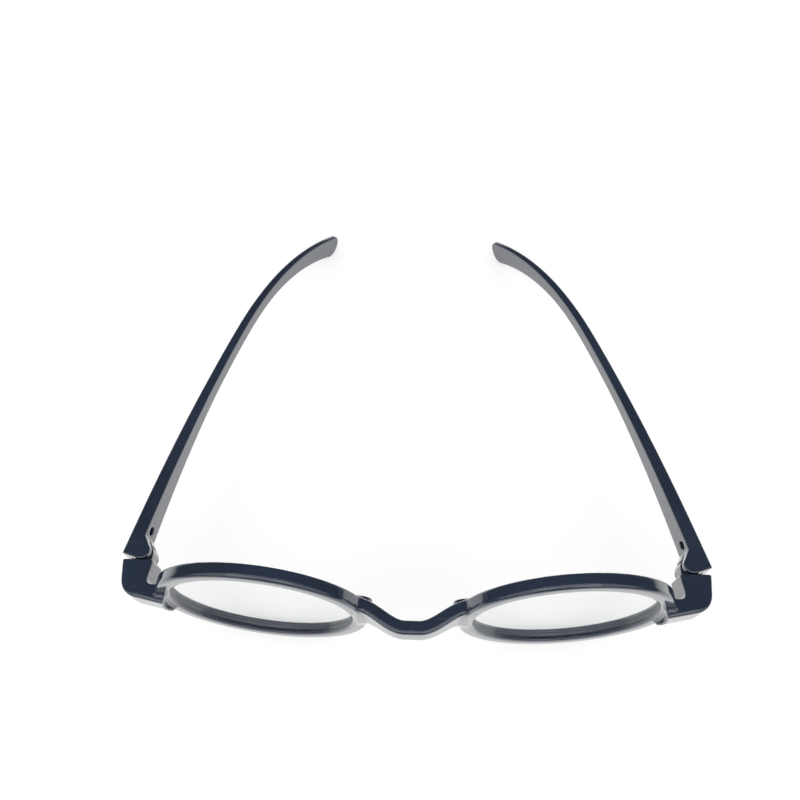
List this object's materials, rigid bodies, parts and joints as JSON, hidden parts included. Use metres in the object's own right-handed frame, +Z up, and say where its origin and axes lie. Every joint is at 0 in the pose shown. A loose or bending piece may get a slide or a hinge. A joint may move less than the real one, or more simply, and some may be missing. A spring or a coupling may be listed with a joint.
{
  "type": "eyeglasses",
  "caption": "Round eyeglasses moulded in glossy near-black plastic, with a forward-bowed bridge, clear lenses and bowed temples that fold on screw hinges.",
  "frame": {"origin": "on the surface that the glasses stand on, below the middle of their bounding box", "axes": "+X along the front, to the right as seen from in front (the wearer's left); left and right in the node names are as seen from in front; +Y back along the temples, so the front faces -Y; +Z up. The glasses stand with the temples partly folded in, on the bottoms of the rims and the left temple's tip, with the right tip 0.15 mm above the table, and the front leans back 5.5 degrees"},
  "size_m": [0.1308, 0.1224, 0.0468],
  "materials": {
    "frame_plastic": "polished, very dark navy",
    "clear_lens": "clear, polished",
    "hinge_steel": "fine turned"
  },
  "bodies": {
    "front": {"front_frame": "frame_plastic", "lens_left": "clear_lens", "lens_right": "clear_lens"},
    "left_arm": {"temple_left": "frame_plastic", "hinge_screw_left": "hinge_steel"},
    "right_arm": {"temple_right": "frame_plastic", "hinge_screw_right": "hinge_steel"}
  },
  "joints": [
    {"name": "fold_left", "type": "hinge", "parent": "front", "child": "left_arm", "pos_m": [-0.0611, -0.0441, 0.02334], "axis": [0, -0.0958, -0.9954], "range_deg": [-16.5, 68.5]},
    {"name": "fold_right", "type": "hinge", "parent": "front", "child": "right_arm", "pos_m": [0.0611, -0.0441, 0.02334], "axis": [0, 0.0958, 0.9954], "range_deg": [-19, 71]}
  ]
}
